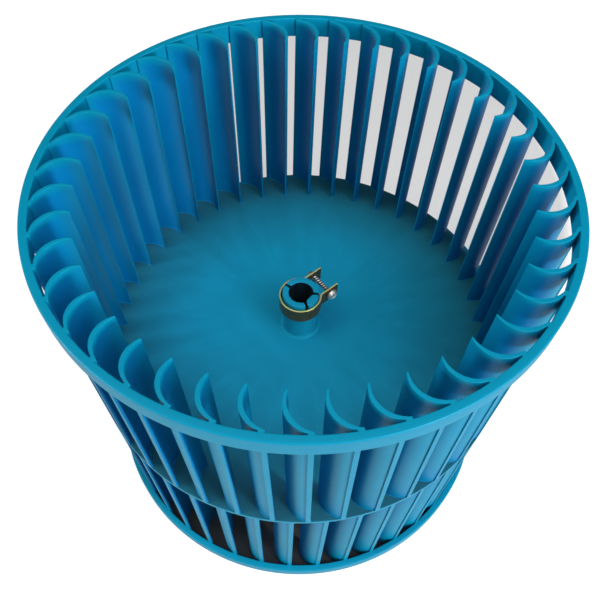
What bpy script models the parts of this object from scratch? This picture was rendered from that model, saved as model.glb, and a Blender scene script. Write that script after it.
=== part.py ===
"""Double-inlet centrifugal blower wheel with a slotted hub, a bent clamp band and its screw.

The wheel stands on its lower rim: the origin is the centre of that rim's lower face and +Z is
the shaft axis. Lengths are in metres and angles in degrees until they are used.
"""
import math

import bmesh
import bpy
from mathutils import Matrix

# Wheel: rims, disc and hub
WHEEL_RADIUS = 0.115
WHEEL_HEIGHT = 0.201
RIM_HEIGHT = 0.0093
RIM_WALL = 0.0034
RIM_LAP = 0.0003
RIM_CHAMFER = 0.0005
DISC_THICKNESS = 0.0023
DISC_LEVEL = 0.0976
HUB_RADIUS = 0.00955
HUB_LENGTH = 0.0278
HUB_FILLET = 0.0015
HUB_CHAMFER = 0.0004
BORE_RADIUS = 0.00635
BORE_FLAT_DISTANCE = 0.0053
SLOT_WIDTH = 0.0014
SLOT_DEPTH = 0.0105

# Blades
BLADE_COUNT = 42
BLADE_DEPTH = 0.0172
BLADE_SWEEP = 5.34
BLADE_TIP_THICKNESS = 0.00064
BLADE_FACE_CAMBER = 0.00418
BLADE_BACK_CAMBER = 0.00454
BLADE_ROOT_WIDTH = 0.0024
BLADE_ROOT_DEPTH = 0.00095
BLADE_LEAN = 0.6
UPPER_ROW_ANGLE = -83.2
LOWER_ROW_ANGLE = -78.6

# Hub details by their bearing round the shaft
SLOT_ANGLES = (-70.0, -6.0, 150.0)
FLAT_ANGLE = -38.0

# Clamp band
BAND_SLACK = 0.00055
BAND_GAUGE = 0.0009
BAND_WIDTH = 0.0087
BAND_DROP = 0.0019
BAND_SHIFT = 0.0003
BAND_SHIFT_ANGLE = -150.0
EAR_ANGLE = 41.0
EAR_SPREAD = 0.0133
EAR_MARGIN = 0.0046
EAR_BEND = 0.0019

# Clamp screw
SCREW_STANDOFF = 0.0023
SCREW_RADIUS = 0.0015
SCREW_LENGTH = 0.0182
SCREW_POINT = 0.0006
HEAD_RADIUS = 0.003
HEAD_HEIGHT = 0.0024
HEAD_EDGE = 0.0009
RECESS_LENGTH = 0.0032
RECESS_WIDTH = 0.0008
RECESS_DEPTH = 0.0011
RECESS_ANGLE = 20.0

# Fits and cuts
SEAT_GAP = 0.0003
OVERRUN = 0.002
MERGE = 0.00001

# Facets
WHEEL_STEPS = 84
HUB_STEPS = 36
SCREW_STEPS = 24
BLADE_STEPS = 5
FILLET_STEPS = 4
BAND_STEPS = 36
BEND_STEPS = 5


def clear_scene():
    for item in list(bpy.data.objects):
        bpy.data.objects.remove(item, do_unlink=True)
    for item in list(bpy.data.collections):
        bpy.data.collections.remove(item)


def collection(name):
    group = bpy.data.collections.new(name)
    bpy.context.scene.collection.children.link(group)
    return group


def surface(name, colour, roughness, metallic, coat=0.0):
    material = bpy.data.materials.new(name)
    material.use_nodes = True
    shader = material.node_tree.nodes["Principled BSDF"]
    shader.inputs["Base Color"].default_value = (*colour, 1.0)
    shader.inputs["Roughness"].default_value = roughness
    shader.inputs["Metallic"].default_value = metallic
    shader.inputs["Coat Weight"].default_value = coat
    material.diffuse_color = (*colour, 1.0)
    return material


def polar(radius, degrees):
    angle = math.radians(degrees)
    return (radius * math.cos(angle), radius * math.sin(angle))


def add_mesh(name, mesh, group):
    item = bpy.data.objects.new(name, mesh)
    group.objects.link(item)
    return item


def turned(name, profiles, steps, group):
    """Closed (radius, height) profiles, running down their outer side, turned about Z."""
    mesh = bpy.data.meshes.new(name)
    points, edges = [], []
    for profile in profiles:
        first = len(points)
        points += [(radius, 0, height) for radius, height in profile]
        last = len(points) - 1
        edges += [(i, i + 1) for i in range(first, last)]
        if profile[0][0] > 0 or profile[-1][0] > 0:
            edges.append((last, first))
    mesh.from_pydata(points, edges, [])
    item = add_mesh(name, mesh, group)
    screw = item.modifiers.new("Turn", "SCREW")
    screw.steps = steps
    screw.render_steps = steps
    screw.use_merge_vertices = True
    screw.merge_threshold = MERGE
    screw.use_smooth_shade = False
    return item


def solid_outline(name, points, bottom, top, group):
    """A flat closed outline made a plate between two heights, as a mesh."""
    curve = bpy.data.curves.new(name, "CURVE")
    curve.dimensions = "2D"
    curve.fill_mode = "BOTH"
    curve.extrude = (top - bottom) / 2
    spline = curve.splines.new("POLY")
    spline.points.add(len(points) - 1)
    for point, (x, y) in zip(spline.points, points):
        point.co = (x, y, 0, 1)
    spline.use_cyclic_u = True
    drawn = bpy.data.objects.new(name + "_outline", curve)
    group.objects.link(drawn)
    drawn.location = (0, 0, (top + bottom) / 2)
    bpy.context.view_layer.update()
    evaluated = drawn.evaluated_get(bpy.context.evaluated_depsgraph_get())
    mesh = bpy.data.meshes.new_from_object(evaluated)
    mesh.transform(drawn.matrix_world)
    welded = bmesh.new()
    welded.from_mesh(mesh)
    bmesh.ops.remove_doubles(welded, verts=welded.verts, dist=MERGE)
    bmesh.ops.recalc_face_normals(welded, faces=welded.faces)
    welded.to_mesh(mesh)
    welded.free()
    bpy.data.objects.remove(drawn, do_unlink=True)
    mesh.name = name
    return add_mesh(name, mesh, group)


def cutter(item):
    item.hide_render = True
    item.display_type = "WIRE"
    return item


def combine(item, other, operation):
    step = item.modifiers.new(operation.title(), "BOOLEAN")
    step.operation = operation
    step.solver = "EXACT"
    step.object = cutter(other)


def arc(centre, radius, start, end, steps):
    """Points on an arc between two angles in radians, both ends included."""
    angles = [start + (end - start) * i / steps for i in range(steps + 1)]
    return [(centre[0] + radius * math.cos(a), centre[1] + radius * math.sin(a)) for a in angles]


def bowed(start, end, camber):
    """Points from start to end on an arc that bows out by the camber on its right."""
    chord = math.dist(start, end)
    radius = chord ** 2 / (8 * camber) + camber / 2
    heading = math.atan2(end[1] - start[1], end[0] - start[0])
    rise = radius - camber
    centre = ((start[0] + end[0]) / 2 - rise * math.sin(heading),
              (start[1] + end[1]) / 2 + rise * math.cos(heading))
    half = math.asin(chord / (2 * radius))
    middle = heading - math.pi / 2
    return arc(centre, radius, middle - half, middle + half, BLADE_STEPS)


def blade_outline(waist_radius, rim_bore):
    """One blade seen from above, its tip on +X, hollow side counterclockwise, root past the waist."""
    tip_radius = waist_radius - BLADE_DEPTH
    half_tip = BLADE_TIP_THICKNESS / 2
    far = BLADE_SWEEP
    near = far - math.degrees(BLADE_ROOT_WIDTH / waist_radius)
    face = bowed((tip_radius, half_tip), polar(rim_bore - BLADE_ROOT_DEPTH, far), BLADE_FACE_CAMBER)
    back = bowed((tip_radius, -half_tip), polar(rim_bore - BLADE_ROOT_DEPTH / 2, near), BLADE_BACK_CAMBER)
    root = [polar(waist_radius + OVERRUN, near), polar(waist_radius + OVERRUN, far)]
    return back + root + face[::-1]


def blade_row(name, outline, first_angle, root_height, end_height, group):
    """All blades of one row: each section is raised from the disc to the rim and leans back."""
    row = bmesh.new()
    run = end_height - root_height
    axis_point = (0, 0, 0)
    for index in range(BLADE_COUNT):
        section = [row.verts.new((x, y, root_height)) for x, y in outline]
        base = row.faces.new(section)
        raised = bmesh.ops.extrude_face_region(row, geom=[base])["geom"]
        ends = [v for v in raised if isinstance(v, bmesh.types.BMVert)]
        bmesh.ops.translate(row, verts=ends, vec=(0, 0, run))
        lean = Matrix.Rotation(math.radians(-BLADE_LEAN), 3, "Z")
        bmesh.ops.rotate(row, verts=ends, cent=axis_point, matrix=lean)
        turn = Matrix.Rotation(math.radians(first_angle + 360 * index / BLADE_COUNT), 3, "Z")
        bmesh.ops.rotate(row, verts=section + ends, cent=axis_point, matrix=turn)
    bmesh.ops.triangulate(row, faces=[f for f in row.faces if len(f.verts) == 4])
    bmesh.ops.recalc_face_normals(row, faces=row.faces)
    mesh = bpy.data.meshes.new(name)
    row.to_mesh(mesh)
    row.free()
    return add_mesh(name, mesh, group)


def bore_outline():
    """The shaft bore with its flat."""
    half = math.degrees(math.acos(BORE_FLAT_DISTANCE / BORE_RADIUS))
    start, end = FLAT_ANGLE + half, FLAT_ANGLE + 360 - half
    return arc((0, 0), BORE_RADIUS, math.radians(start), math.radians(end), HUB_STEPS)


def slot_cutters(bottom, top, group):
    """Three plates from the shaft axis outwards, joined by the bore between them."""
    slots = []
    for number, angle in enumerate(SLOT_ANGLES):
        half = SLOT_WIDTH / 2
        inner, outer = BORE_FLAT_DISTANCE / 2, HUB_RADIUS + OVERRUN
        corners = [(inner, -half), (outer, -half), (outer, half), (inner, half)]
        slot = solid_outline("slot_cut_%d" % (number + 1), corners, bottom, top, group)
        slot.rotation_euler = (0, 0, math.radians(angle))
        slots.append(slot)
    return slots


def fan_wheel(parts, cutters, material):
    waist = WHEEL_RADIUS - RIM_WALL
    rim_bore = waist - RIM_LAP
    disc_top = DISC_LEVEL + DISC_THICKNESS
    inside_disc = DISC_LEVEL + DISC_THICKNESS / 2
    hub_top = disc_top + HUB_LENGTH

    disc_profile = [
        (0, disc_top), (WHEEL_RADIUS, disc_top), (WHEEL_RADIUS, DISC_LEVEL), (0, DISC_LEVEL)]
    wheel = turned("fan_wheel", [disc_profile], WHEEL_STEPS, parts)

    outline = blade_outline(waist, rim_bore)
    lap = DISC_THICKNESS / 4
    upper = blade_row(
        "upper_blades", outline, UPPER_ROW_ANGLE, inside_disc + lap, WHEEL_HEIGHT + OVERRUN, cutters)
    lower = blade_row(
        "lower_blades", outline, LOWER_ROW_ANGLE, inside_disc - lap, -OVERRUN, cutters)
    combine(wheel, upper, "UNION")
    combine(wheel, lower, "UNION")

    trim_top, trim_low = WHEEL_HEIGHT + 2 * OVERRUN, -2 * OVERRUN
    trim = turned("waist_trim", [[(0, trim_top), (waist, trim_top), (waist, trim_low), (0, trim_low)]],
                  WHEEL_STEPS, cutters)
    combine(wheel, trim, "INTERSECT")

    lip = WHEEL_RADIUS - RIM_CHAMFER
    upper_rim = [
        (lip, WHEEL_HEIGHT + OVERRUN), (lip, WHEEL_HEIGHT),
        (WHEEL_RADIUS, WHEEL_HEIGHT - RIM_CHAMFER), (WHEEL_RADIUS, WHEEL_HEIGHT - RIM_HEIGHT),
        (rim_bore, WHEEL_HEIGHT - RIM_HEIGHT), (rim_bore, WHEEL_HEIGHT + OVERRUN)]
    lower_rim = [
        (WHEEL_RADIUS, RIM_HEIGHT), (WHEEL_RADIUS, RIM_CHAMFER), (lip, 0), (lip, -OVERRUN),
        (rim_bore, -OVERRUN), (rim_bore, RIM_HEIGHT)]
    rims = turned("rims", [upper_rim, lower_rim], WHEEL_STEPS, cutters)
    combine(wheel, rims, "UNION")

    reach = 2 * WHEEL_RADIUS
    level = turned("end_trim", [[(0, WHEEL_HEIGHT), (reach, WHEEL_HEIGHT), (reach, 0), (0, 0)]],
                   FILLET_STEPS * 2, cutters)
    combine(wheel, level, "INTERSECT")

    fillet_centre = (HUB_RADIUS + HUB_FILLET, disc_top + HUB_FILLET)
    fillet = arc(fillet_centre, HUB_FILLET, math.pi, 1.5 * math.pi, FILLET_STEPS)
    hub_profile = [
        (0, hub_top), (HUB_RADIUS - HUB_CHAMFER, hub_top), (HUB_RADIUS, hub_top - HUB_CHAMFER)]
    hub_profile += fillet + [(HUB_RADIUS + HUB_FILLET, inside_disc), (0, inside_disc)]
    combine(wheel, turned("hub", [hub_profile], HUB_STEPS, cutters), "UNION")

    bore = solid_outline("bore_cut", bore_outline(), DISC_LEVEL - OVERRUN, hub_top + OVERRUN, cutters)
    combine(wheel, bore, "DIFFERENCE")
    for slot in slot_cutters(hub_top - SLOT_DEPTH, hub_top + OVERRUN, cutters):
        combine(wheel, slot, "DIFFERENCE")
    wheel.data.materials.append(material)
    return wheel, hub_top


def screw_reach():
    """Distance of the screw's axis from the band's: it passes clear of the ring."""
    return HUB_RADIUS + BAND_SLACK + BAND_GAUGE + SCREW_STANDOFF + SCREW_RADIUS


def band_path():
    """Middle line of the strip with its outward normals: ear, bend, ring, bend, ear."""
    ring = HUB_RADIUS + BAND_SLACK + BAND_GAUGE / 2
    offset = EAR_SPREAD / 2 + EAR_BEND
    bend_x = math.sqrt((ring + EAR_BEND) ** 2 - offset ** 2)
    root = math.atan2(offset, bend_x)
    line = []
    for i in range(BEND_STEPS + 1):
        a = math.pi / 2 + (math.pi / 2 - root) * i / BEND_STEPS
        normal = (math.cos(a), math.sin(a))
        point = (bend_x + EAR_BEND * normal[0], -offset + EAR_BEND * normal[1])
        line.append((point, (-normal[0], -normal[1])))
    for i in range(1, BAND_STEPS):
        a = -root - (2 * math.pi - 2 * root) * i / BAND_STEPS
        line.append(((ring * math.cos(a), ring * math.sin(a)), (math.cos(a), math.sin(a))))
    mirrored = [((x, -y), (nx, -ny)) for (x, y), (nx, ny) in line[:BEND_STEPS + 1]]
    line += mirrored[::-1]
    ear_end = screw_reach() + EAR_MARGIN
    first = ((ear_end, -EAR_SPREAD / 2), (0, -1))
    last = ((ear_end, EAR_SPREAD / 2), (0, 1))
    return [first] + line + [last]


def clamp_band(hub_top, parts, cutters, material):
    half = BAND_GAUGE / 2
    path = band_path()
    outer = [(x + nx * half, y + ny * half) for (x, y), (nx, ny) in path]
    inner = [(x - nx * half, y - ny * half) for (x, y), (nx, ny) in path]
    band = solid_outline("clamp_band", outer + inner[::-1], -BAND_WIDTH / 2, BAND_WIDTH / 2, parts)
    band.location = (*polar(BAND_SHIFT, BAND_SHIFT_ANGLE), hub_top - BAND_DROP - BAND_WIDTH / 2)
    band.rotation_euler = (0, 0, math.radians(EAR_ANGLE))

    bpy.ops.mesh.primitive_cylinder_add(
        vertices=SCREW_STEPS, radius=SCREW_RADIUS + SEAT_GAP, depth=EAR_SPREAD + 2 * OVERRUN,
        location=(screw_reach(), 0, 0), rotation=(math.pi / 2, 0, 0))
    hole = bpy.context.object
    hole.name = "ear_hole_cut"
    for owner in list(hole.users_collection):
        owner.objects.unlink(hole)
    cutters.objects.link(hole)
    hole.parent = band
    combine(band, hole, "DIFFERENCE")
    band.data.materials.append(material)
    return band


def clamp_screw(band, parts, cutters, material):
    """Turned about its own Z, head uppermost, then laid along the ears' spread."""
    crown_steps = FILLET_STEPS
    dome = HEAD_HEIGHT - HEAD_EDGE
    crown = []
    for i in range(crown_steps + 1):
        a = math.pi / 2 * (1 - i / crown_steps)
        crown.append((HEAD_RADIUS * math.cos(a), HEAD_EDGE + dome * math.sin(a)))
    crown[0] = (0, HEAD_HEIGHT)
    profile = crown + [(HEAD_RADIUS, 0), (SCREW_RADIUS, 0), (SCREW_RADIUS, SCREW_POINT - SCREW_LENGTH),
                       (SCREW_RADIUS - SCREW_POINT, -SCREW_LENGTH), (0, -SCREW_LENGTH)]
    screw = turned("clamp_screw", [profile], SCREW_STEPS, parts)

    arm = RECESS_LENGTH / 2
    half = RECESS_WIDTH / 2
    cross = [(arm, -half), (arm, half), (half, half), (half, arm), (-half, arm), (-half, half),
             (-arm, half), (-arm, -half), (-half, -half), (-half, -arm), (half, -arm), (half, -half)]
    recess = solid_outline("recess_cut", cross, HEAD_HEIGHT - RECESS_DEPTH, HEAD_HEIGHT + OVERRUN, cutters)
    recess.rotation_euler = (0, 0, math.radians(RECESS_ANGLE))
    recess.parent = screw
    combine(screw, recess, "DIFFERENCE")

    seat = EAR_SPREAD / 2 + BAND_GAUGE / 2 + SEAT_GAP
    screw.matrix_world = (
        Matrix.Translation(band.location) @ Matrix.Rotation(math.radians(EAR_ANGLE), 4, "Z")
        @ Matrix.Translation((screw_reach(), -seat, 0)) @ Matrix.Rotation(math.pi / 2, 4, "X"))
    screw.data.materials.append(material)
    return screw


def main():
    clear_scene()
    parts = collection("centrifugal_fan")
    cutters = collection("cutters")
    blue = surface("blue_plastic", (0.005, 0.27, 0.50), 0.33, 0.0)
    zinc_yellow = surface("yellow_zinc", (0.60, 0.50, 0.20), 0.30, 1.0)
    zinc = surface("zinc", (0.72, 0.72, 0.71), 0.28, 1.0)
    wheel, hub_top = fan_wheel(parts, cutters, blue)
    band = clamp_band(hub_top, parts, cutters, zinc_yellow)
    bpy.context.view_layer.update()
    clamp_screw(band, parts, cutters, zinc)
    bpy.context.view_layer.update()


main()
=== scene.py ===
"""Looks of the centrifugal blower wheel: blue moulding, yellow zinc clamp band and threaded screw.

Lengths are in metres in the CAD frame: the origin is the centre of the lower rim's lower face and
+Z is the shaft axis. Angles are in degrees until they are used.
"""
import math

import bmesh
import bpy
from mathutils import Matrix, Vector

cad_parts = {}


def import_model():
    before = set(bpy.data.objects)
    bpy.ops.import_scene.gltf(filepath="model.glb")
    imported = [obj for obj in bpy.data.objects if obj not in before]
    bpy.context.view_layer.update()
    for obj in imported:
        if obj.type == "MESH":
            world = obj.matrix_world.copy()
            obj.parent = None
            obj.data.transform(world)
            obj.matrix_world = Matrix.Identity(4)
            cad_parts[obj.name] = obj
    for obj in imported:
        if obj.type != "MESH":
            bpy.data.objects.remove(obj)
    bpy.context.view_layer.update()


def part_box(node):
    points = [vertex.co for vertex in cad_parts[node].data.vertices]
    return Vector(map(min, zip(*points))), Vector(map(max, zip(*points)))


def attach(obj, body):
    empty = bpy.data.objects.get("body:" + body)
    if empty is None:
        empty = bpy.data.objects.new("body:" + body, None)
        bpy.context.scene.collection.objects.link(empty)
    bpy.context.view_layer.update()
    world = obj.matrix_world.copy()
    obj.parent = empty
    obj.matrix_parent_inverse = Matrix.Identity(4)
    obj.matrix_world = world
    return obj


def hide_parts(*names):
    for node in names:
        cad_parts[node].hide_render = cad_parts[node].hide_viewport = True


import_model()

# Wheel: its outer sizes come from the frame, the others repeat the CAD source's values
WHEEL_LOW, WHEEL_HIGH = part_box("fan_wheel")
WHEEL_RADIUS = (WHEEL_HIGH.x - WHEEL_LOW.x) / 2
RIM_HEIGHT = 0.0093
RIM_WALL = 0.0034
WAIST = WHEEL_RADIUS - RIM_WALL
RIM_LAP = 0.0003
RIM_EDGE = 0.0011
DISC_THICKNESS = 0.0023
DISC_LEVEL = 0.0976
DISC_TOP = DISC_LEVEL + DISC_THICKNESS
HUB_RADIUS = 0.00955
HUB_LENGTH = 0.0278
HUB_FILLET = 0.0015
HUB_EDGE = 0.0006
BORE_RADIUS = 0.00635
BORE_FLAT_DISTANCE = 0.0053
SLOT_WIDTH = 0.0014
SLOT_DEPTH = 0.0105
SLOT_ANGLES = (-70.0, -6.0, 150.0)
FLAT_ANGLE = -38.0
FINGER_CORNER = 0.0011

# Blades; the tip's rounding is a share of its half thickness
BLADE_COUNT = 42
BLADE_DEPTH = 0.0172
BLADE_SWEEP = 5.34
BLADE_TIP_THICKNESS = 0.00064
BLADE_TIP_ROUNDING = 0.6
BLADE_FACE_CAMBER = 0.00418
BLADE_BACK_CAMBER = 0.00454
BLADE_ROOT_WIDTH = 0.0024
BLADE_ROOT_DEPTH = 0.00095
BLADE_ROOT_EDGE = 0.0003
BLADE_END_EDGE = 0.00016
BLADE_FOOT = 0.0003
BLADE_LEAN = 0.6
UPPER_ROW_ANGLE = -83.2
LOWER_ROW_ANGLE = -78.6
HIDDEN_LAP = 0.0004
CLOSE_GAP = 0.00002

# Clamp band
BAND_SLACK = 0.00055
BAND_GAUGE = 0.0009
BAND_WIDTH = 0.0087
BAND_DROP = 0.0019
BAND_EDGE = 0.0002
BAND_SHIFT = 0.0003
BAND_SHIFT_ANGLE = -150.0
EAR_ANGLE = 41.0
EAR_SPREAD = 0.0133
EAR_MARGIN = 0.0046
EAR_BEND = 0.0019

# Clamp screw
SCREW_STANDOFF = 0.0023
SCREW_RADIUS = 0.0015
SCREW_CORE_SHARE = 0.62
SCREW_LENGTH = 0.0182
SCREW_POINT = 0.0012
POINT_SHARE = 0.45
THREAD_PITCH = 0.0015
THREAD_SHARPNESS = 2.5
THREAD_RUNOUT = 0.2
HEAD_RADIUS = 0.003
HEAD_HEIGHT = 0.0024
HEAD_EDGE = 0.0009
RECESS_LENGTH = 0.0032
RECESS_WIDTH = 0.0008
RECESS_DEPTH = 0.0011
RECESS_ANGLE = 20.0
SEAT_GAP = 0.0003
OVERRUN = 0.002
SCREW_REACH = HUB_RADIUS + BAND_SLACK + BAND_GAUGE + SCREW_STANDOFF + SCREW_RADIUS
EAR_REACH = SCREW_REACH + EAR_MARGIN

# Fineness of the meshes, and limits that keep their outlines sound
ROUND_STEPS = 252
BLADE_STEPS = 14
FOOT_STEPS = 4
HUB_STEPS = 96
FINGER_STEPS = 12
FILLET_STEPS = 6
BAND_STEPS = 96
BEND_STEPS = 10
SCREW_STEPS = 32
CROWN_STEPS = 8
THREAD_ROWS = 14
EDGE_STEPS = 3
SMOOTH_ANGLE = 32.0
MERGE_DISTANCE = 1e-7
NEAR_AXIS = 1e-6
CORNER_SHARE = 0.45
MITRE_LIMIT = 0.4

# How far a face's normal must turn for it to count as level, outward or upward
LEVEL_TURN = 0.25
OUTWARD_TURN = 0.5
UPWARD_TURN = 0.3

# Camera, solved from the photograph's rims, blade tips and hub
CAMERA_PLACE = (0.0, -0.195753, 0.39354)
CAMERA_PITCH = 61.8658
CAMERA_YAW = -0.8292
CAMERA_ROLL = 0.6229
CAMERA_SENSOR = 36.0
CAMERA_LENS = 38.4085
CAMERA_SHIFT = (0.0092, 0.14092)


# Shapes

def polar(radius, degrees):
    angle = math.radians(degrees)
    return (radius * math.cos(angle), radius * math.sin(angle))


def arc(centre, radius, start, end, steps):
    """Points on an arc between two angles in radians, both ends included."""
    angles = [start + (end - start) * i / steps for i in range(steps + 1)]
    return [(centre[0] + radius * math.cos(a), centre[1] + radius * math.sin(a)) for a in angles]


def bowed(start, end, camber, steps):
    """Points from start to end on an arc that bows out by the camber on its right."""
    chord = math.dist(start, end)
    radius = chord ** 2 / (8 * camber) + camber / 2
    heading = math.atan2(end[1] - start[1], end[0] - start[0])
    rise = radius - camber
    centre = ((start[0] + end[0]) / 2 - rise * math.sin(heading),
              (start[1] + end[1]) / 2 + rise * math.cos(heading))
    half = math.asin(chord / (2 * radius))
    middle = heading - math.pi / 2
    return arc(centre, radius, middle - half, middle + half, steps)


def corner(before, point, after, radius):
    """The rounding of one corner of an outline, as points."""
    p, a, b = Vector(point), Vector(before), Vector(after)
    to_a, to_b = (a - p).normalized(), (b - p).normalized()
    half = math.acos(max(-1.0, min(1.0, to_a.dot(to_b)))) / 2
    longest = min((a - p).length, (b - p).length) * CORNER_SHARE
    reach = min(radius / math.tan(half), longest)
    start, end = p + to_a * reach, p + to_b * reach
    points = []
    for i in range(EDGE_STEPS + 1):
        t = i / EDGE_STEPS
        points.append(tuple(start * (1 - t) ** 2 + p * 2 * t * (1 - t) + end * t ** 2))
    return points


def soft_outline(points, radii):
    """An outline with the corners named in radii, a dict of index to radius, rounded."""
    result = []
    count = len(points)
    for i, point in enumerate(points):
        if i in radii:
            result += corner(points[i - 1], point, points[(i + 1) % count], radii[i])
        else:
            result.append(point)
    return result


def grown(points, distance):
    """A counterclockwise outline moved outwards by a distance, or inwards if it is negative."""
    count = len(points)
    result = []
    for i in range(count):
        x0, y0 = points[i - 1]
        x1, y1 = points[i]
        x2, y2 = points[(i + 1) % count]
        first = Vector((y1 - y0, x0 - x1)).normalized()
        second = Vector((y2 - y1, x1 - x2)).normalized()
        middle = first + second
        middle /= max(middle.length_squared / 2, MITRE_LIMIT)
        result.append((x1 + middle.x * distance, y1 + middle.y * distance))
    return result


def edge_levels(edge, steps=EDGE_STEPS):
    """(inset, depth) pairs of a quarter-round edge, from the flat end to the wall."""
    pairs = []
    for i in range(steps + 1):
        a = math.pi / 2 * i / steps
        pairs.append((edge * (1 - math.sin(a)), edge * (1 - math.cos(a))))
    return pairs


def add_loft(mesh, rings):
    """Joins rings of points, bottom to top and counterclockwise, into a closed body in a bmesh."""
    levels = [[mesh.verts.new(point) for point in ring] for ring in rings]
    count = len(rings[0])
    for lower, upper in zip(levels, levels[1:]):
        for i in range(count):
            j = (i + 1) % count
            mesh.faces.new((lower[i], lower[j], upper[j], upper[i]))
    mesh.faces.new(levels[-1])
    mesh.faces.new(levels[0][::-1])


def add_turned(mesh, profile, steps, closed=True):
    """Turns a counterclockwise (radius, height) profile about Z into a bmesh."""
    count = len(profile)
    columns = []
    for k in range(steps):
        a = 2 * math.pi * k / steps
        c, s = math.cos(a), math.sin(a)
        columns.append([mesh.verts.new((r * c, r * s, z)) for r, z in profile])
    last = count if closed else count - 1
    for k in range(steps):
        here, there = columns[k], columns[(k + 1) % steps]
        for i in range(last):
            j = (i + 1) % count
            mesh.faces.new((here[i], there[i], there[j], here[j]))


def soften(item):
    """Shades an object smooth but for its sharp edges."""
    item.data.shade_smooth()
    item.data.set_sharp_from_angle(angle=math.radians(SMOOTH_ANGLE))
    if not item.modifiers:
        weighted = item.modifiers.new("Weighted_normals", "WEIGHTED_NORMAL")
        weighted.keep_sharp = True


def finished(name, mesh, material, smooth=True):
    """A bmesh made an object with a material."""
    bmesh.ops.remove_doubles(mesh, verts=mesh.verts, dist=MERGE_DISTANCE)
    bmesh.ops.recalc_face_normals(mesh, faces=mesh.faces)
    data = bpy.data.meshes.new(name)
    mesh.to_mesh(data)
    mesh.free()
    item = bpy.data.objects.new(name, data)
    bpy.context.scene.collection.objects.link(item)
    data.materials.append(material)
    if smooth:
        soften(item)
    return item


# Wheel

def rim_profile(low, high, inner, outer, edge):
    """A rim's section, counterclockwise, with its four edges rounded."""
    corners = [(inner, low), (outer, low), (outer, high), (inner, high)]
    radii = {0: edge / 2, 1: edge, 2: edge, 3: edge / 2}
    return soft_outline(corners, radii)


def rims(material):
    mesh = bmesh.new()
    for low in (WHEEL_LOW.z, WHEEL_HIGH.z - RIM_HEIGHT):
        profile = rim_profile(low, low + RIM_HEIGHT, WAIST - RIM_LAP, WHEEL_RADIUS, RIM_EDGE)
        add_turned(mesh, profile, ROUND_STEPS)
    return finished("wheel_rims", mesh, material)


def blade_outline():
    """One blade seen from above, counterclockwise, its tip on +X and its hollow side at +Y."""
    root = WAIST - RIM_LAP - BLADE_ROOT_DEPTH
    back_root = WAIST - RIM_LAP - BLADE_ROOT_DEPTH / 2
    tip = WAIST - BLADE_DEPTH
    half = BLADE_TIP_THICKNESS / 2
    far = BLADE_SWEEP
    near = far - math.degrees(BLADE_ROOT_WIDTH / WAIST)
    face = bowed((tip, half), polar(root, far), BLADE_FACE_CAMBER, BLADE_STEPS)
    back = bowed((tip, -half), polar(back_root, near), BLADE_BACK_CAMBER, BLADE_STEPS)
    points = back + [polar(WAIST, near), polar(WAIST, far)] + face[::-1]
    radii = {i: BLADE_ROOT_EDGE for i in range(len(back), len(back) + 3)}
    radii[0] = radii[len(points) - 1] = half * BLADE_TIP_ROUNDING
    return soft_outline(points, radii)


def blade_row(name, first_angle, disc_face, end, material):
    """A row of blades from the disc to the rim's end, each with a small foot and a soft end."""
    outline = blade_outline()
    up = 1 if end > disc_face else -1
    stop = end - up * CLOSE_GAP
    stations = [(disc_face - up * HIDDEN_LAP, BLADE_FOOT)]
    stations += [(disc_face + up * depth, inset)
                 for inset, depth in edge_levels(BLADE_FOOT, FOOT_STEPS)]
    stations += [(stop - up * depth, -inset) for inset, depth in edge_levels(BLADE_END_EDGE)[::-1]]
    mesh = bmesh.new()
    for index in range(BLADE_COUNT):
        rings = []
        for height, growth in stations:
            lean = -BLADE_LEAN * (height - disc_face) / (end - disc_face)
            bearing = first_angle + lean + 360 * index / BLADE_COUNT
            turn = Matrix.Rotation(math.radians(bearing), 2)
            ring = []
            for x, y in grown(outline, growth):
                place = turn @ Vector((x, y))
                if place.length > WAIST:
                    place *= WAIST / place.length
                ring.append((place.x, place.y, height))
            rings.append(ring)
        add_loft(mesh, rings if up > 0 else rings[::-1])
    return finished(name, mesh, material)


def bore_distance(bearing):
    """How far the bore's wall lies from the axis, with its flat."""
    away = math.radians(bearing - FLAT_ANGLE)
    if math.cos(away) * BORE_RADIUS > BORE_FLAT_DISTANCE:
        return BORE_FLAT_DISTANCE / math.cos(away)
    return BORE_RADIUS


def hub_ring(mesh, low, high):
    """The unslotted foot of the hub, a ring with the bore in it, as one closed loop of quads."""
    rows = []
    for k in range(HUB_STEPS):
        bearing = 360 * k / HUB_STEPS
        inner = polar(bore_distance(bearing), bearing)
        outer = polar(HUB_RADIUS, bearing)
        rows.append([mesh.verts.new((*inner, low)), mesh.verts.new((*outer, low)),
                     mesh.verts.new((*outer, high)), mesh.verts.new((*inner, high))])
    for k in range(HUB_STEPS):
        here, there = rows[k], rows[(k + 1) % HUB_STEPS]
        for i in range(4):
            j = (i + 1) % 4
            mesh.faces.new((here[i], there[i], there[j], here[j]))


def rounding(distance, radius):
    """How far a rounded corner stands back from its edge, at a distance from the corner."""
    if distance >= radius:
        return 0.0
    return radius - math.sqrt(radius ** 2 - (radius - distance) ** 2)


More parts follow.
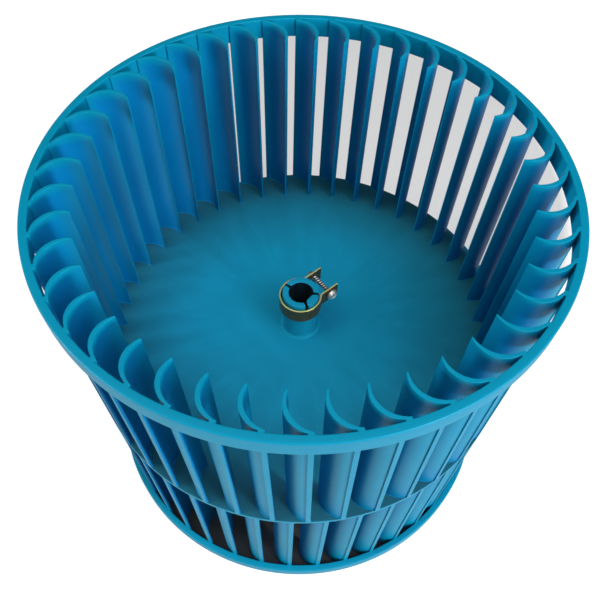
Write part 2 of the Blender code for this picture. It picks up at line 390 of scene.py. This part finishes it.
def hub_finger(mesh, start, end, low, high):
    """One finger of the slotted hub, between two slots: a section swept round the shaft axis."""
    half = SLOT_WIDTH / 2
    trim_in = math.degrees(math.asin(half / BORE_RADIUS))
    trim_out = math.degrees(math.asin(half / HUB_RADIUS))
    steps = max(FINGER_STEPS, round(HUB_STEPS * (end - start) / 360))
    flat_side = start < FLAT_ANGLE < end
    end_corner = FINGER_CORNER if flat_side else HUB_EDGE
    sections = []
    for k in range(steps + 1):
        t = (1 - math.cos(math.pi * k / steps)) / 2
        in_bearing = start + trim_in + (end - start - 2 * trim_in) * t
        out_bearing = start + trim_out + (end - start - 2 * trim_out) * t
        near_end = min(t, 1 - t) * math.radians(end - start) * BORE_RADIUS
        in_radius = bore_distance(in_bearing) + rounding(near_end, end_corner)
        out_radius = HUB_RADIUS - rounding(near_end, end_corner)
        inner = Vector(polar(in_radius, in_bearing))
        outer = Vector(polar(out_radius, out_bearing))
        across = (outer - inner).normalized()
        section = [(*inner, low), (*outer, low)]
        for inset, depth in edge_levels(HUB_EDGE)[::-1]:
            section.append((*(outer - across * inset), high - depth))
        for inset, depth in edge_levels(HUB_EDGE):
            section.append((*(inner + across * inset), high - depth))
        sections.append(section)
    add_loft(mesh, sections)


def finish_hub(item, bore_shade_material, lit_wall_material):
    """Paints shade into the bore and slots' sides, and light onto the hub's wall and foot fillet.
    """
    item.data.materials.append(bore_shade_material)
    item.data.materials.append(lit_wall_material)
    for face in item.data.polygons:
        x, y, z = face.center
        out = math.hypot(x, y)
        outward = (face.normal.x * x + face.normal.y * y) / out
        foot = out > HUB_RADIUS and face.normal.z > 0 and z > DISC_TOP + CLOSE_GAP
        level = abs(face.normal.z) > LEVEL_TURN and not foot
        if out <= HUB_RADIUS + HUB_FILLET and not level:
            face.material_index = 2 if foot or outward > OUTWARD_TURN else 1


def disc_and_hub(material, bore_shade_material, lit_wall_material):
    """The disc with the hub on it, and the height of the hub's end."""
    hub_top = DISC_TOP + HUB_LENGTH
    slot_floor = hub_top - SLOT_DEPTH
    inside = (BORE_RADIUS + HUB_RADIUS) / 2
    low_inner, low_outer = (inside, DISC_LEVEL), (WAIST, DISC_LEVEL)
    high_inner, high_outer = (inside, DISC_TOP), (WAIST, DISC_TOP)
    fillet_centre = (HUB_RADIUS + HUB_FILLET, DISC_TOP + HUB_FILLET)
    profile = [low_inner]
    profile += corner(low_inner, low_outer, high_outer, RIM_EDGE / 2)
    profile += corner(low_outer, high_outer, high_inner, RIM_EDGE / 2)
    profile += arc(fillet_centre, HUB_FILLET, 1.5 * math.pi, math.pi, FILLET_STEPS)
    profile.append((inside, DISC_TOP + HUB_FILLET))
    mesh = bmesh.new()
    add_turned(mesh, profile, ROUND_STEPS)
    hub_ring(mesh, DISC_LEVEL + CLOSE_GAP, slot_floor)
    for start, end in zip(SLOT_ANGLES, (*SLOT_ANGLES[1:], SLOT_ANGLES[0] + 360)):
        hub_finger(mesh, start, end, slot_floor, hub_top)
    item = finished("wheel_disc_and_hub", mesh, material)
    finish_hub(item, bore_shade_material, lit_wall_material)
    return item, hub_top


# Clamp

def band_path():
    """Middle line of the strip with its outward normals: ear, bend, ring, bend, ear."""
    ring = HUB_RADIUS + BAND_SLACK + BAND_GAUGE / 2
    offset = EAR_SPREAD / 2 + EAR_BEND
    bend_x = math.sqrt((ring + EAR_BEND) ** 2 - offset ** 2)
    root = math.atan2(offset, bend_x)
    line = []
    for i in range(BEND_STEPS + 1):
        a = math.pi / 2 + (math.pi / 2 - root) * i / BEND_STEPS
        nx, ny = math.cos(a), math.sin(a)
        line.append(((bend_x + EAR_BEND * nx, -offset + EAR_BEND * ny), (-nx, -ny)))
    for i in range(1, BAND_STEPS):
        a = -root - (2 * math.pi - 2 * root) * i / BAND_STEPS
        line.append(((ring * math.cos(a), ring * math.sin(a)), (math.cos(a), math.sin(a))))
    line += [((x, -y), (nx, -ny)) for (x, y), (nx, ny) in line[:BEND_STEPS + 1]][::-1]
    first = ((EAR_REACH, -EAR_SPREAD / 2), (0, -1))
    last = ((EAR_REACH, EAR_SPREAD / 2), (0, 1))
    return [first] + line + [last]


def clamp_frame(hub_top):
    """The band's own frame: X towards the ears, Z along the shaft, its middle height at 0."""
    shift = polar(BAND_SHIFT, BAND_SHIFT_ANGLE)
    height = hub_top - BAND_DROP - BAND_WIDTH / 2
    turn = Matrix.Rotation(math.radians(EAR_ANGLE), 4, "Z")
    return Matrix.Translation((*shift, height)) @ turn


def cut(item, tool):
    """Takes the tool's solid out of the item and removes the tool."""
    step = item.modifiers.new("Cut", "BOOLEAN")
    step.operation = "DIFFERENCE"
    step.solver = "EXACT"
    step.object = tool
    item.modifiers.move(len(item.modifiers) - 1, 0)
    bpy.context.view_layer.update()
    graph = bpy.context.evaluated_depsgraph_get()
    data = bpy.data.meshes.new_from_object(item.evaluated_get(graph))
    item.modifiers.clear()
    item.data = data
    bpy.data.objects.remove(tool, do_unlink=True)
    soften(item)


def clamp_band(place, material, lit_edge_material):
    """The bent strip with the screw's holes, its upward faces a lighter yellow: painted light."""
    half, top = BAND_GAUGE / 2, BAND_WIDTH / 2
    corners = [(-half, -top), (half, -top), (half, top), (-half, top)]
    section = soft_outline(corners, {i: BAND_EDGE for i in range(4)})
    mesh = bmesh.new()
    add_loft(mesh, [[(x + nx * out, y + ny * out, z) for out, z in section]
                    for (x, y), (nx, ny) in band_path()])
    band = finished("clamp_band_strip", mesh, material)
    hole = bmesh.new()
    bmesh.ops.create_cone(
        hole, cap_ends=True, segments=SCREW_STEPS, radius1=SCREW_RADIUS + SEAT_GAP,
        radius2=SCREW_RADIUS + SEAT_GAP, depth=EAR_SPREAD + 2 * OVERRUN,
        matrix=Matrix.Translation((SCREW_REACH, 0, 0)) @ Matrix.Rotation(math.pi / 2, 4, "X"))
    cut(band, finished("ear_hole_cut", hole, material, smooth=False))
    band.data.materials.append(lit_edge_material)
    # Upward faces take the lit edge copy: painted light
    for face in band.data.polygons:
        if face.normal.z > UPWARD_TURN:
            face.material_index = 1
    band.data.transform(place)
    return band


def thread_radius(height, bearing):
    """The shank's radius at a height below the head and a bearing in turns, along the helix."""
    share = (-height / THREAD_PITCH - bearing) % 1.0
    tooth = max(0.0, 1 - abs(share - 0.5) * THREAD_SHARPNESS)
    start = min(1.0, max(0.0, -height / THREAD_PITCH))
    tip = min(1.0, (height + SCREW_LENGTH) / SCREW_POINT)
    core = SCREW_CORE_SHARE + (1 - SCREW_CORE_SHARE) * (1 - start) * THREAD_RUNOUT
    taper = POINT_SHARE + (1 - POINT_SHARE) * tip
    return SCREW_RADIUS * (core + (1 - core) * tooth * start) * taper


def screw_shank(mesh):
    """The threaded shank, from its point up into the head."""
    rows = round(SCREW_LENGTH / THREAD_PITCH * THREAD_ROWS)
    rings = []
    for k in range(rows + 1):
        height = -SCREW_LENGTH + (SCREW_LENGTH + HEAD_EDGE / 2) * k / rows
        ring = []
        for i in range(SCREW_STEPS):
            turn = i / SCREW_STEPS
            ring.append((*polar(thread_radius(height, turn), 360 * turn), height))
        rings.append(ring)
    add_loft(mesh, rings)


def darken_roots(item, material):
    """Paints shade into the thread's roots: a darker grey than its crests."""
    item.data.materials.append(material)
    root = SCREW_RADIUS * (1 + SCREW_CORE_SHARE) / 2
    for face in item.data.polygons:
        x, y, z = face.center
        if z < -THREAD_PITCH / 2 and math.hypot(x, y) < root:
            face.material_index = 1


def screw_head(material):
    """A low domed head on the screw's axis, with a cross recess."""
    dome = HEAD_HEIGHT - HEAD_EDGE
    crown = []
    for i in range(CROWN_STEPS + 1):
        a = math.pi / 2 * i / CROWN_STEPS
        crown.append((max(HEAD_RADIUS * math.cos(a), NEAR_AXIS), HEAD_EDGE + dome * math.sin(a)))
    seat = (NEAR_AXIS, 0)
    rounded = corner(seat, (HEAD_RADIUS, 0), (HEAD_RADIUS, HEAD_EDGE), HEAD_EDGE / 3)
    head = bmesh.new()
    add_turned(head, [seat] + rounded + crown, SCREW_STEPS * 2)
    item = finished("clamp_screw_threaded", head, material)
    arm, half = RECESS_LENGTH / 2, RECESS_WIDTH / 2
    cross = [(arm, -half), (arm, half), (half, half), (half, arm),
             (-half, arm), (-half, half), (-arm, half), (-arm, -half),
             (-half, -half), (-half, -arm), (half, -arm), (half, -half)]
    turn = Matrix.Rotation(math.radians(RECESS_ANGLE), 2)
    cross = [tuple(turn @ Vector(point)) for point in cross]
    levels = (HEAD_HEIGHT - RECESS_DEPTH, HEAD_HEIGHT + OVERRUN)
    recess = bmesh.new()
    add_loft(recess, [[(x, y, z) for x, y in cross] for z in levels])
    cut(item, finished("recess_cut", recess, material, smooth=False))
    return item


def clamp_screw(place, material, root_shade_material):
    """The screw through both ears: its head, and a threaded shank, its roots in painted shade."""
    screw = screw_head(material)
    shank = bmesh.new()
    shank.from_mesh(screw.data)
    screw_shank(shank)
    shank.to_mesh(screw.data)
    shank.free()
    soften(screw)
    darken_roots(screw, root_shade_material)
    seat = EAR_SPREAD / 2 + BAND_GAUGE / 2 + SEAT_GAP
    turn = Matrix.Rotation(math.pi / 2, 4, "X")
    screw.data.transform(place @ Matrix.Translation((SCREW_REACH, -seat, 0)) @ turn)
    return screw


# Materials

# Openness of the blades' faces, the mask of their painted shade, as fades: two bounds, then the
# values at them. TIP, ROOT and OUTSIDE go by the distance from the shaft axis, HOLLOW by how far a
# face turns to the blade's hollow side, and FOOT and END by the distance from the disc's level
TIP_FADE, TIP_OPENNESS = (0.094, 0.104), (0.75, 0.2)
ROOT_FADE, ROOT_OPENNESS = (0.103, 0.11), (0.0, 0.95)
HOLLOW_FADE, HOLLOW_OPENNESS = (0.2, 0.6), (1.0, 0.2)
FOOT_FADE, FOOT_OPENNESS = (0.0, 0.03), (0.5, 1.0)
RISE, FALL = (0.0, 1.0), (1.0, 0.0)
OUTSIDE_FADE = (0.1113, 0.1116)
END_FADE = (0.096, 0.102)

# Tones and gloss. A pair of blade tones is for deep between the blades, a darker and bluer painted
# shade, and for lying open; the disc's fades are distances from the shaft axis
BLADE_TONES = ((0.0006, 0.178, 0.468), (0.0006, 0.264, 0.430))
BLADE_GLOSS = (0.38, 0.48)
# Painted light: the hub's wall and foot fillet are a lighter tone than the disc
HUB_LIT_TONE = (0.0060, 0.330, 0.500)
HUB_GLOSS = (0.5, 0.7)
DISC_TONE = (0.0060, 0.278, 0.458)
# Painted shade on the disc: darker towards the blades, darkest next to them
DISC_SHADED_TONE = (0.0130, 0.200, 0.305)
DISC_DEEP_SHADE_TONE = (0.0150, 0.120, 0.175)
DISC_SHADE_FADE = (0.045, 0.1)
DISC_DEEP_SHADE_FADE = (0.085, 0.105)
TONE_DRIFT, TONE_STOPS = 0.05, (0.3, 0.7)
# Painted shade, near black, in the bore and the slots
BORE_STOPS, BORE_SHADE_TONES = (0.35, 0.75), ((0.001, 0.008, 0.013), (0.002, 0.030, 0.045))
BORE_GLOSS = (0.45, 0.65)
YELLOW_STOPS = (0.3, 0.5, 0.7)
STRIP_TONES = ((0.12, 0.095, 0.045), (0.19, 0.125, 0.052), (0.24, 0.13, 0.065))
STRIP_METAL, STRIP_GLOSS = 0.8, (0.3, 0.5)
# Painted light: a far lighter yellow on the band's upward faces than on its wall
LIT_EDGE_TONES = ((0.66, 0.70, 0.24), (0.80, 0.79, 0.30), (0.86, 0.75, 0.38))
EDGE_METAL, EDGE_GLOSS = 0.7, (0.3, 0.45)
SCREW_GREYS = (0.72, 0.92)
# Painted shade in the thread's roots
ROOT_SHADE_GREYS = (0.14, 0.26)
ZINC_TINT = (1.0, 0.98, 0.93)
ZINC_GLOSS = (0.42, 0.58)
PLASTIC_IOR = 1.35
PLASTIC_TINT = (0.35, 0.8, 1.0, 1.0)

# Noises: scale, detail, roughness and stretch. Bumps: strength and height. Flow marks: how fine
# they are round the shaft axis and away from it
NOISE_MEAN = 0.5
DRIFT_NOISE = (14, 3)
GLOSS_NOISE = (60, 4)
RIPPLE_NOISE, RIPPLE_BUMP = (45, 2), (0.07, 0.0008)
SKIN_NOISE, SKIN_BUMP = (2600, 3, 0.6), (0.12, 0.00005)
CLOUD_NOISE = (45, 4)
FLOW_ROUND, FLOW_AWAY, FLOW_DETAIL = 9.0, 30.0, 3
FLOW_FADE, FLOW_STRENGTH = (0.02, 0.07), 1.9
BORE_SHADE_NOISE = (420, 3, 0.6, (1, 1, 0.3))
BORE_GLOSS_NOISE = (700, 2)
TINT_NOISE = (260, 3, 0.6)
BAND_GLOSS_NOISE = (900, 3)
ROLLING_NOISE, ROLLING_BUMP = (500, 3, 0.6, (1, 1, 8)), (0.15, 0.00005)
MOTTLE_NOISE = (900, 3, 0.6)
SCREW_GLOSS_NOISE = (1500, 2)


def node(tree, kind, **values):
    made = tree.nodes.new(kind)
    for name, value in values.items():
        setattr(made, name, value)
    return made


def noise(tree, scale, detail, roughness=0.5, stretch=(1, 1, 1)):
    """Noise in object space, with its own scale along each axis."""
    place = node(tree, "ShaderNodeTexCoord")
    mapping = node(tree, "ShaderNodeMapping")
    mapping.inputs["Scale"].default_value = stretch
    texture = node(tree, "ShaderNodeTexNoise")
    texture.inputs["Scale"].default_value = scale
    texture.inputs["Detail"].default_value = detail
    texture.inputs["Roughness"].default_value = roughness
    tree.links.new(place.outputs["Object"], mapping.inputs["Vector"])
    tree.links.new(mapping.outputs["Vector"], texture.inputs["Vector"])
    return texture.outputs["Fac"]


def ramp(tree, source, stops, colours):
    """A colour ramp on a value, with a colour at each stop."""
    made = node(tree, "ShaderNodeValToRGB")
    tree.links.new(source, made.inputs["Fac"])
    elements = made.color_ramp.elements
    while len(elements) < len(stops):
        elements.new(0.5)
    for element, stop, colour in zip(elements, stops, colours):
        element.position = stop
        element.color = (*colour, 1.0)
    return made.outputs["Color"]


def value_range(tree, source, low, high):
    """A value from 0 to 1 brought between two others."""
    made = node(tree, "ShaderNodeMapRange")
    made.inputs["To Min"].default_value = low
    made.inputs["To Max"].default_value = high
    tree.links.new(source, made.inputs["Value"])
    return made.outputs["Result"]


def bump(tree, source, strength, distance, before=None):
    """A relief from a height, over an earlier one."""
    made = node(tree, "ShaderNodeBump")
    made.inputs["Strength"].default_value = strength
    made.inputs["Distance"].default_value = distance
    tree.links.new(source, made.inputs["Height"])
    if before is not None:
        tree.links.new(before, made.inputs["Normal"])
    return made.outputs["Normal"]


def material(name):
    made = bpy.data.materials.new(name)
    made.use_nodes = True
    tree = made.node_tree
    return made, tree, tree.nodes["Principled BSDF"]


def fade(tree, source, bounds, values):
    """A value that passes smoothly from one to the other as the source crosses two bounds."""
    made = node(tree, "ShaderNodeMapRange", interpolation_type="SMOOTHSTEP")
    made.inputs["From Min"].default_value, made.inputs["From Max"].default_value = bounds
    made.inputs["To Min"].default_value, made.inputs["To Max"].default_value = values
    tree.links.new(source, made.inputs["Value"])
    return made.outputs["Result"]


def distance_from(tree, place):
    """How far a point of the stage lies from a place."""
    spot = node(tree, "ShaderNodeNewGeometry")
    made = node(tree, "ShaderNodeVectorMath", operation="DISTANCE")
    made.inputs[1].default_value = place
    tree.links.new(spot.outputs["Position"], made.inputs[0])
    return made.outputs["Value"]


def maths(tree, operation, first, second):
    """One maths node on two values, each a socket or a float."""
    made = node(tree, "ShaderNodeMath", operation=operation)
    for source, slot in zip((first, second), made.inputs):
        if isinstance(source, float):
            slot.default_value = source
        else:
            tree.links.new(source, slot)
    return made.outputs["Value"]


def tones(tree, source, colour):
    """Slight drift between a darker and a lighter tone of one colour."""
    darker, lighter = [tuple(part * (1 + drift) for part in colour)
                       for drift in (-TONE_DRIFT, TONE_DRIFT)]
    return ramp(tree, source, TONE_STOPS, (darker, lighter))


def blend_colours(tree, factor, low, high):
    """The low colour where the factor is 0, and the high one where it is 1."""
    mix = node(tree, "ShaderNodeMix", data_type="RGBA")
    for name, source in (("Factor", factor), ("A", low), ("B", high)):
        slot = [slot for slot in mix.inputs if slot.name == name and slot.enabled][0]
        tree.links.new(source, slot)
    return [slot for slot in mix.outputs if slot.enabled][0]


def axis_place(tree):
    """A point's distance from the shaft axis, its distance from the disc's level, and its parts."""
    place = node(tree, "ShaderNodeTexCoord")
    flat = node(tree, "ShaderNodeVectorMath", operation="MULTIPLY")
    flat.inputs[1].default_value = (1, 1, 0)
    tree.links.new(place.outputs["Object"], flat.inputs[0])
    radius = node(tree, "ShaderNodeVectorMath", operation="LENGTH")
    tree.links.new(flat.outputs["Vector"], radius.inputs[0])
    parts = node(tree, "ShaderNodeSeparateXYZ")
    tree.links.new(place.outputs["Object"], parts.inputs["Vector"])
    height = maths(tree, "SUBTRACT", parts.outputs["Z"], DISC_LEVEL + DISC_THICKNESS / 2)
    return radius.outputs["Value"], maths(tree, "ABSOLUTE", height, 0.0), parts


def facing(tree, radius):
    """How far a face turns to the blades' hollow side: its normal's part along the wheel's edge."""
    place = node(tree, "ShaderNodeTexCoord")
    turn = node(tree, "ShaderNodeVectorMath", operation="CROSS_PRODUCT")
    tree.links.new(place.outputs["Object"], turn.inputs[0])
    tree.links.new(place.outputs["Normal"], turn.inputs[1])
    parts = node(tree, "ShaderNodeSeparateXYZ")
    tree.links.new(turn.outputs["Vector"], parts.inputs["Vector"])
    return maths(tree, "DIVIDE", parts.outputs["Z"], radius)


def openness(tree):
    """Painted shade mask: 0 deep between blades, 1 at their tips, ends and the wheel's outside."""
    radius, height, _ = axis_place(tree)
    near_tip = fade(tree, radius, TIP_FADE, TIP_OPENNESS)
    side = fade(tree, facing(tree, radius), HOLLOW_FADE, HOLLOW_OPENNESS)
    near_root = maths(tree, "MULTIPLY", fade(tree, radius, ROOT_FADE, ROOT_OPENNESS), side)
    between = maths(tree, "MAXIMUM", near_tip, near_root)
    between = maths(tree, "MULTIPLY", between, fade(tree, height, FOOT_FADE, FOOT_OPENNESS))
    outside = fade(tree, radius, OUTSIDE_FADE, RISE)
    ends = fade(tree, height, END_FADE, RISE)
    return maths(tree, "MAXIMUM", between, maths(tree, "MAXIMUM", outside, ends))


def plastic_skin(tree, shader, gloss):
    """The gloss, soft mould ripples and fine skin that all the blue plastic shares."""
    spread = value_range(tree, noise(tree, *GLOSS_NOISE), *gloss)
    tree.links.new(spread, shader.inputs["Roughness"])
    ripple = bump(tree, noise(tree, *RIPPLE_NOISE), *RIPPLE_BUMP)
    skin = bump(tree, noise(tree, *SKIN_NOISE), *SKIN_BUMP, ripple)
    tree.links.new(skin, shader.inputs["Normal"])
    shader.inputs["IOR"].default_value = PLASTIC_IOR
    shader.inputs["Specular Tint"].default_value = PLASTIC_TINT


def blue_plastic(name, colours, gloss):
    """Semi-gloss moulding in its tone, with a darker, bluer painted shade deep between the blades.
    """
    made, tree, shader = material(name)
    drift = noise(tree, *DRIFT_NOISE)
    deep, clear = [tones(tree, drift, colour) for colour in colours]
    colour = blend_colours(tree, openness(tree), deep, clear)
    tree.links.new(colour, shader.inputs["Base Color"])
    plastic_skin(tree, shader, gloss)
    return made


def disc_plastic():
    """The disc's plastic: radial flow marks and clouds, and painted shade towards the blades."""
    made, tree, shader = material("blue_plastic_disc")
    radius, _, parts = axis_place(tree)
    bearing = maths(tree, "ARCTAN2", parts.outputs["Y"], parts.outputs["X"])
    polar_place = node(tree, "ShaderNodeCombineXYZ")
    tree.links.new(maths(tree, "MULTIPLY", bearing, FLOW_ROUND), polar_place.inputs["X"])
    tree.links.new(maths(tree, "MULTIPLY", radius, FLOW_AWAY), polar_place.inputs["Y"])
    flow = node(tree, "ShaderNodeTexNoise")
    flow.inputs["Scale"].default_value = 1.0
    flow.inputs["Detail"].default_value = FLOW_DETAIL
    tree.links.new(polar_place.outputs["Vector"], flow.inputs["Vector"])
    strength = fade(tree, radius, FLOW_FADE, (0.0, FLOW_STRENGTH))
    marks = maths(tree, "SUBTRACT", flow.outputs["Fac"], NOISE_MEAN)
    marks = maths(tree, "MULTIPLY", marks, strength)
    drift = maths(tree, "ADD", marks, noise(tree, *CLOUD_NOISE))
    deep, shaded, clean, clear = [
        tones(tree, drift, colour)
        for colour in (DISC_DEEP_SHADE_TONE, DISC_SHADED_TONE, DISC_TONE, BLADE_TONES[1])]
    # Painted shade: darker towards the blades, darker still next to them, the rim outside them
    # plain
    colour = blend_colours(tree, fade(tree, radius, DISC_SHADE_FADE, FALL), shaded, clean)
    colour = blend_colours(tree, fade(tree, radius, DISC_DEEP_SHADE_FADE, FALL), deep, colour)
    colour = blend_colours(tree, fade(tree, radius, OUTSIDE_FADE, RISE), colour, clear)
    tree.links.new(colour, shader.inputs["Base Color"])
    plastic_skin(tree, shader, BLADE_GLOSS)
    return made


def bore_plastic():
    """The same plastic inside the bore and its slots, near black: painted shade."""
    made, tree, shader = material("blue_plastic_bore_shade")
    colour = ramp(tree, noise(tree, *BORE_SHADE_NOISE), BORE_STOPS, BORE_SHADE_TONES)
    tree.links.new(colour, shader.inputs["Base Color"])
    gloss = value_range(tree, noise(tree, *BORE_GLOSS_NOISE), *BORE_GLOSS)
    tree.links.new(gloss, shader.inputs["Roughness"])
    return made


def yellow_zinc(name, colours, metal, gloss):
    """Yellow passivated zinc between three tones, with fine rolling marks."""
    made, tree, shader = material(name)
    colour = ramp(tree, noise(tree, *TINT_NOISE), YELLOW_STOPS, colours)
    tree.links.new(colour, shader.inputs["Base Color"])
    spread = value_range(tree, noise(tree, *BAND_GLOSS_NOISE), *gloss)
    tree.links.new(spread, shader.inputs["Roughness"])
    marks = bump(tree, noise(tree, *ROLLING_NOISE), *ROLLING_BUMP)
    tree.links.new(marks, shader.inputs["Normal"])
    shader.inputs["Metallic"].default_value = metal
    return made


def zinc(name, greys):
    """Zinc of the screw between a dull and a bright grey, with a faint mottle."""
    made, tree, shader = material(name)
    colours = [tuple(grey * part for part in ZINC_TINT) for grey in greys]
    colour = ramp(tree, noise(tree, *MOTTLE_NOISE), TONE_STOPS, colours)
    tree.links.new(colour, shader.inputs["Base Color"])
    gloss = value_range(tree, noise(tree, *SCREW_GLOSS_NOISE), *ZINC_GLOSS)
    tree.links.new(gloss, shader.inputs["Roughness"])
    shader.inputs["Metallic"].default_value = 1.0
    return made


# Stage

FLOOR_SIZE = 12.0
FLOOR_DROP = 0.0003
FLOOR_COLOUR = 0.52
FLOOR_ROUGHNESS = 0.9
FLOOR_GLOW = 0.7
FLOOR_GLOSS_SHARE = 0.3
SKY_LEVEL = 0.03
SKY_GLOSS_SHARE = 0.01

# The floor is dark under the wheel, a painted shadow, and greyer in a round patch behind it, which
# the photograph's camera sees through the far blades
UNDER_SHADOW_FADE, UNDER_SHADOW_COLOUR = (0.1116, 0.1146), 0.09
BEHIND_PLACE, BEHIND_FADE, BEHIND_SHARE = (0.0, 0.2, 0.0), (0.21, 0.226), 0.31

# Square area lights round the wheel: bearing, elevation, size, level and colour. The level is how
# bright, in its green, a white face at the wheel gets when it is turned to the light
LIGHT_DISTANCE = 1.6
LIGHTS = {
    "window_low": (-45, 12, 0.3, 0.56, (0.98, 0.98, 1.0)),
    "window_middle": (-45, 32, 0.8, 0.34, (0.92, 0.94, 1.0)),
    "window_high": (-36, 54, 0.6, 0.19, (0.84, 0.88, 1.0)),
    "left_low": (195, 12, 0.4, 0.48, (0.98, 0.98, 1.0)),
    "left_high": (190, 60, 0.8, 0.17, (1.0, 1.0, 0.82)),
    "overhead": (-90, 88, 1.4, 0.28, (0.94, 0.96, 1.0)),
    "front": (-90, 52, 0.8, 0.13, (1.0, 1.0, 0.85)),
}


def seen_white(tree, gloss_share):
    """1 for camera and transmission rays, a share of it for glossy rays and 0 for the others."""
    path = node(tree, "ShaderNodeLightPath")
    glossy = maths(tree, "MULTIPLY", path.outputs["Is Glossy Ray"], gloss_share)
    seen = maths(
        tree, "MAXIMUM", path.outputs["Is Camera Ray"], path.outputs["Is Transmission Ray"])
    return maths(tree, "MAXIMUM", seen, glossy)


def floor():
    """Pale floor seen white, but for a painted shadow under the wheel and a grey patch behind it.
    """
    mesh = bmesh.new()
    bmesh.ops.create_grid(mesh, x_segments=1, y_segments=1, size=FLOOR_SIZE / 2)
    made, tree, shader = material("pale_floor")
    centre = distance_from(tree, (0, 0, 0))
    # Painted shadow: dark under the wheel, and no glow there
    colour = fade(tree, centre, UNDER_SHADOW_FADE, (UNDER_SHADOW_COLOUR, FLOOR_COLOUR))
    tree.links.new(colour, shader.inputs["Base Color"])
    shader.inputs["Roughness"].default_value = FLOOR_ROUGHNESS
    outside = fade(tree, centre, UNDER_SHADOW_FADE, (0.0, FLOOR_GLOW))
    clear = fade(tree, distance_from(tree, BEHIND_PLACE), BEHIND_FADE, (BEHIND_SHARE, 1.0))
    white = maths(tree, "MULTIPLY", outside, clear)
    glow = maths(tree, "MULTIPLY", white, seen_white(tree, FLOOR_GLOSS_SHARE))
    shader.inputs["Emission Color"].default_value = (1.0, 1.0, 1.0, 1.0)
    tree.links.new(glow, shader.inputs["Emission Strength"])
    item = finished("floor", mesh, made, smooth=False)
    item.location = (0, 0, -FLOOR_DROP)


def world():
    """A dim studio that the view sees as white beyond the floor."""
    made = bpy.data.worlds.new("Soft_studio")
    bpy.context.scene.world = made
    made.use_nodes = True
    tree = made.node_tree
    background = tree.nodes["Background"]
    background.inputs["Color"].default_value = (1.0, 1.0, 1.0, 1.0)
    strength = value_range(tree, seen_white(tree, SKY_GLOSS_SHARE), SKY_LEVEL, 1.0)
    tree.links.new(strength, background.inputs["Strength"])


def area_light(name, place, target, size, power, colour):
    data = bpy.data.lights.new(name, "AREA")
    data.shape = "SQUARE"
    data.size = size
    data.energy = power
    data.color = colour
    item = bpy.data.objects.new(name, data)
    bpy.context.scene.collection.objects.link(item)
    item.location = place
    item.rotation_euler = (target - place).to_track_quat("-Z", "Y").to_euler()


def lights():
    """Sets the area lights round the wheel, aimed at the middle of its disc."""
    target = Vector((0, 0, DISC_LEVEL))
    for name, (bearing, elevation, size, level, colour) in LIGHTS.items():
        lift = math.radians(elevation)
        away = Vector((*polar(math.cos(lift), bearing), math.sin(lift)))
        power = level * (math.pi * LIGHT_DISTANCE) ** 2 / colour[1]
        area_light(name, target + LIGHT_DISTANCE * away, target, size, power, colour)


def camera():
    """The photograph's camera."""
    data = bpy.data.cameras.new("Photo_camera")
    data.sensor_width = CAMERA_SENSOR
    data.lens = CAMERA_LENS
    data.shift_x, data.shift_y = CAMERA_SHIFT
    item = bpy.data.objects.new("Photo_camera", data)
    bpy.context.scene.collection.objects.link(item)
    pitch, yaw, roll = (math.radians(a) for a in (CAMERA_PITCH, CAMERA_YAW, CAMERA_ROLL))
    forward = Vector((math.sin(yaw) * math.cos(pitch), math.cos(yaw) * math.cos(pitch),
                      -math.sin(pitch)))
    right = forward.cross(Vector((0, 0, 1))).normalized()
    up = right.cross(forward)
    turned_right = math.cos(roll) * right + math.sin(roll) * up
    turned_up = -math.sin(roll) * right + math.cos(roll) * up
    axes = Matrix((turned_right, turned_up, -forward)).transposed().to_4x4()
    item.matrix_world = Matrix.Translation(CAMERA_PLACE) @ axes
    bpy.context.scene.camera = item


# Assembly

def dress_wheel():
    """The wheel's four pieces; the height of the hub's end is what the clamp needs of them."""
    # The moulding's darker, bluer tone between the blades is painted shade
    blue = blue_plastic("blue_plastic_moulded", BLADE_TONES, BLADE_GLOSS)
    # The hub's copy is a lighter tone, painted light on its wall and foot fillet
    hub_lit_blue = blue_plastic("blue_plastic_hub_lit", (HUB_LIT_TONE, HUB_LIT_TONE), HUB_GLOSS)
    rim_pair = rims(blue)
    disc, hub_top = disc_and_hub(disc_plastic(), bore_plastic(), hub_lit_blue)
    upper = blade_row("wheel_upper_blades", UPPER_ROW_ANGLE, DISC_TOP, WHEEL_HIGH.z, blue)
    lower = blade_row("wheel_lower_blades", LOWER_ROW_ANGLE, DISC_LEVEL, WHEEL_LOW.z, blue)
    for piece in (rim_pair, disc, upper, lower):
        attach(piece, "wheel")
        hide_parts("fan_wheel")
    return hub_top


def dress_clamp(hub_top):
    """The band and the screw, under the hub's end."""
    place = clamp_frame(hub_top)
    strip = yellow_zinc("yellow_zinc_strip", STRIP_TONES, STRIP_METAL, STRIP_GLOSS)
    # The edge copy, far lighter, is painted light on the band's upward faces
    edge = yellow_zinc("yellow_zinc_lit_edge", LIT_EDGE_TONES, EDGE_METAL, EDGE_GLOSS)
    band = clamp_band(place, strip, edge)
    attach(band, "wheel")
    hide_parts("clamp_band")
    # The root zinc is a darker grey, painted shade in the thread's roots
    screw = clamp_screw(
        place, zinc("zinc_screw", SCREW_GREYS), zinc("zinc_thread_root_shade", ROOT_SHADE_GREYS))
    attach(screw, "screw")
    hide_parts("clamp_screw")


dress_clamp(dress_wheel())
floor()
world()
lights()
camera()
bpy.context.scene.view_settings.view_transform = "Standard"
